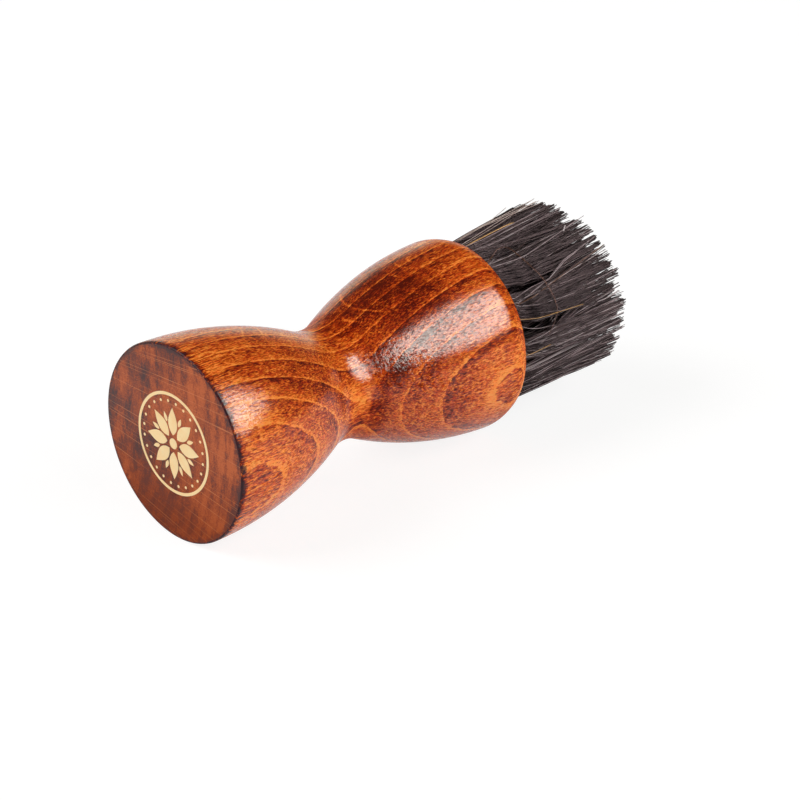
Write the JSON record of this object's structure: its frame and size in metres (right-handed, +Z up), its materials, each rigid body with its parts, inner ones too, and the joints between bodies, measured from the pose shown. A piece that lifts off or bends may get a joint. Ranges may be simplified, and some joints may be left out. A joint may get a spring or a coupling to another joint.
{
  "type": "polish dauber",
  "caption": "Round dauber brush with a waisted turned wooden handle and a cylinder of horsehair tufts set in the face of its head.",
  "frame": {"origin": "centre of the bounding box in X and Y, at its lowest level: the dauber lies on its side on z = 0", "axes": "+X along the turning axis, from the flat end of the knob towards the tips of the bristles; +Z up"},
  "size_m": [0.093, 0.0352, 0.0351],
  "materials": {
    "stained_wood": "turned beech, red-brown stain under satin lacquer",
    "horsehair": "black horsehair, slightly glossy",
    "anchor_wire": "bare flat wire"
  },
  "bodies": {
    "root": {"handle": "stained_wood", "tuft_centre": "horsehair", "tuft_middle_01": "horsehair", "tuft_middle_02": "horsehair", "tuft_middle_03": "horsehair", "tuft_middle_04": "horsehair", "tuft_middle_05": "horsehair", "tuft_middle_06": "horsehair", "tuft_outer_01": "horsehair", "tuft_outer_02": "horsehair", "tuft_outer_03": "horsehair", "tuft_outer_04": "horsehair", "tuft_outer_05": "horsehair", "tuft_outer_06": "horsehair", "tuft_outer_07": "horsehair", "tuft_outer_08": "horsehair", "tuft_outer_09": "horsehair", "tuft_outer_10": "horsehair", "tuft_outer_11": "horsehair", "tuft_outer_12": "horsehair", "anchor_centre": "anchor_wire", "anchor_middle_01": "anchor_wire", "anchor_middle_02": "anchor_wire", "anchor_middle_03": "anchor_wire", "anchor_middle_04": "anchor_wire", "anchor_middle_05": "anchor_wire", "anchor_middle_06": "anchor_wire", "anchor_outer_01": "anchor_wire", "anchor_outer_02": "anchor_wire", "anchor_outer_03": "anchor_wire", "anchor_outer_04": "anchor_wire", "anchor_outer_05": "anchor_wire", "anchor_outer_06": "anchor_wire", "anchor_outer_07": "anchor_wire", "anchor_outer_08": "anchor_wire", "anchor_outer_09": "anchor_wire", "anchor_outer_10": "anchor_wire", "anchor_outer_11": "anchor_wire", "anchor_outer_12": "anchor_wire"}
  },
  "joints": []
}
